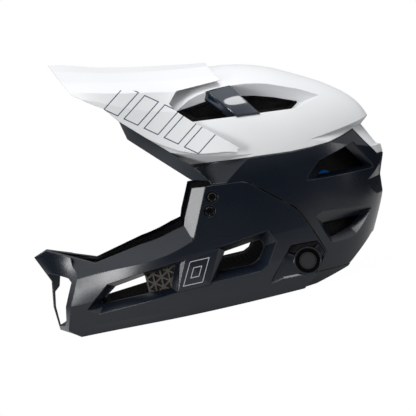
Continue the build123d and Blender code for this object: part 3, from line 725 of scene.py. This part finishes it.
def softened(name, node, body, cap):
    # a pad that fills out its solid, swelled by cloth and held to a cap
    piece = copied(name, node)
    drawn = piece.modifiers.new("drawn", "DISPLACE")
    drawn.strength = -padding["shrink"]
    drawn.mid_level = 0.0
    grid = piece.modifiers.new("grid", "REMESH")
    grid.mode = "VOXEL"
    grid.voxel_size = padding["voxel"]
    applied(piece)
    before = [vertex.co.copy() for vertex in piece.data.vertices]
    cloth = piece.modifiers.new("cloth", "CLOTH").settings
    cloth.use_pressure = True
    cloth.uniform_pressure_force = padding["pressure"]
    cloth.effector_weights.gravity = 0.0
    cloth.quality = padding["quality"]
    for step in range(1, padding["frames"] + 1):
        scene.frame_set(step)
    applied(piece)
    scene.frame_set(1)
    for vertex, rest in zip(piece.data.vertices, before):
        moved = vertex.co - rest
        if moved.length > cap:
            vertex.co = rest + moved * (cap / moved.length)
    smooth = piece.modifiers.new("smooth", "SUBSURF")
    smooth.levels = 1
    smooth.render_levels = 1
    smoothed(piece)
    piece.data.materials.clear()
    piece.data.materials.append(looks["knitPad"])
    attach(piece, body)
    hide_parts(node)


for name, node, body, cap in padding["pads"]:
    softened(name, node, body, cap)
print("pads:", len(padding["pads"]))

strap = {
    "width": 0.018,
    "thickness": 0.0016,
    "middle": 0.061,            # x of its middle line
    "route": [                  # y and z, from the anchor down to the buckle
        (0.0728, 0.1344), (0.0728, 0.1200), (0.0661, 0.1008), (0.0631, 0.0720),
        (0.0503, 0.0384), (0.0257, 0.0173), (0.0144, 0.0161),
    ],
    "cuts": 3,
    "rounds": 3,                # times that its bends are eased
    "ease": 0.4,
    "near": 0.00001,
}


def webStrap(name, node, side):
    # flat webbing along its route, with a map in metres for the weave
    shape = bmesh.new()
    chart = shape.loops.layers.uv.new("flat")
    front = strap["middle"] - strap["width"] / 2
    rear = front + strap["width"]
    near = strap["near"]
    line = [shape.verts.new((front, side * y, z)) for y, z in strap["route"]]
    edges = [shape.edges.new(pair) for pair in zip(line, line[1:])]
    wide = bmesh.ops.extrude_edge_only(shape, edges=edges)
    fresh = [g for g in wide["geom"] if isinstance(g, bmesh.types.BMVert)]
    bmesh.ops.translate(shape, verts=fresh, vec=(strap["width"], 0, 0))
    lengthways = [e for e in shape.edges if abs(e.verts[0].co.x - e.verts[1].co.x) < near]
    bmesh.ops.subdivide_edges(shape, edges=lengthways, cuts=strap["cuts"], use_grid_fill=True)
    crossways = [e for e in shape.edges if abs(e.verts[0].co.x - e.verts[1].co.x) > near]
    bmesh.ops.subdivide_edges(shape, edges=crossways, cuts=strap["cuts"], use_grid_fill=True)
    free = [v for v in shape.verts
            if not v.is_boundary or abs(v.co.x - front) < near or abs(v.co.x - rear) < near]
    for turn in range(strap["rounds"]):
        bmesh.ops.smooth_vert(shape, verts=free, factor=strap["ease"], use_axis_y=True, use_axis_z=True)
    for face in shape.faces:
        for loop in face.loops:
            loop[chart].uv = (loop.vert.co.x, loop.vert.co.z + abs(loop.vert.co.y))
    bmesh.ops.recalc_face_normals(shape, faces=shape.faces)
    piece = placed(name, shape)
    smoothed(piece)
    wall = piece.modifiers.new("wall", "SOLIDIFY")
    wall.thickness = strap["thickness"]
    wall.offset = 0.0
    piece.data.materials.append(looks["webbing"])
    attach(piece, "helmet")
    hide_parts(node)


webStrap("webLeft", "strap_left", -1)
webStrap("webRight", "strap_right", 1)
print("chin strap: two lengths of webbing")

raised = {  # corners on the right side: rear ones have the larger x
    "front": [
        (-0.0384, 0.0999, 0.0562), (-0.0024, 0.1062, 0.0606),
        (-0.0197, 0.1032, 0.0276), (-0.0528, 0.0948, 0.0268),
    ],
    "foot": [
        (-0.0437, 0.0965, 0.0552), (0.0030, 0.1010, 0.0565),
        (-0.0184, 0.0990, 0.0238), (-0.0540, 0.0920, 0.0258),
    ],
    "sunk": 0.0045,             # how far its back lies inside the wall
}


def raisedBlock(name, side):
    # a slanted pad between the windows, a little proud of the wall, its rear edge cut back to a broad facet
    shape = bmesh.new()
    backs = [(x, y - raised["sunk"], z) for x, y, z in raised["front"]]
    for x, y, z in raised["front"] + raised["foot"] + backs:
        shape.verts.new((x, side * y, z))
    bmesh.ops.convex_hull(shape, input=shape.verts)
    bmesh.ops.delete(shape, geom=[v for v in shape.verts if not v.link_faces], context="VERTS")
    bmesh.ops.recalc_face_normals(shape, faces=shape.faces)
    piece = placed(name, shape)
    piece.data.materials.append(looks["navyBlock"])
    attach(piece, "chin_bar")


raisedBlock("blockLeft", -1)
raisedBlock("blockRight", 1)
print("raised blocks: 2")
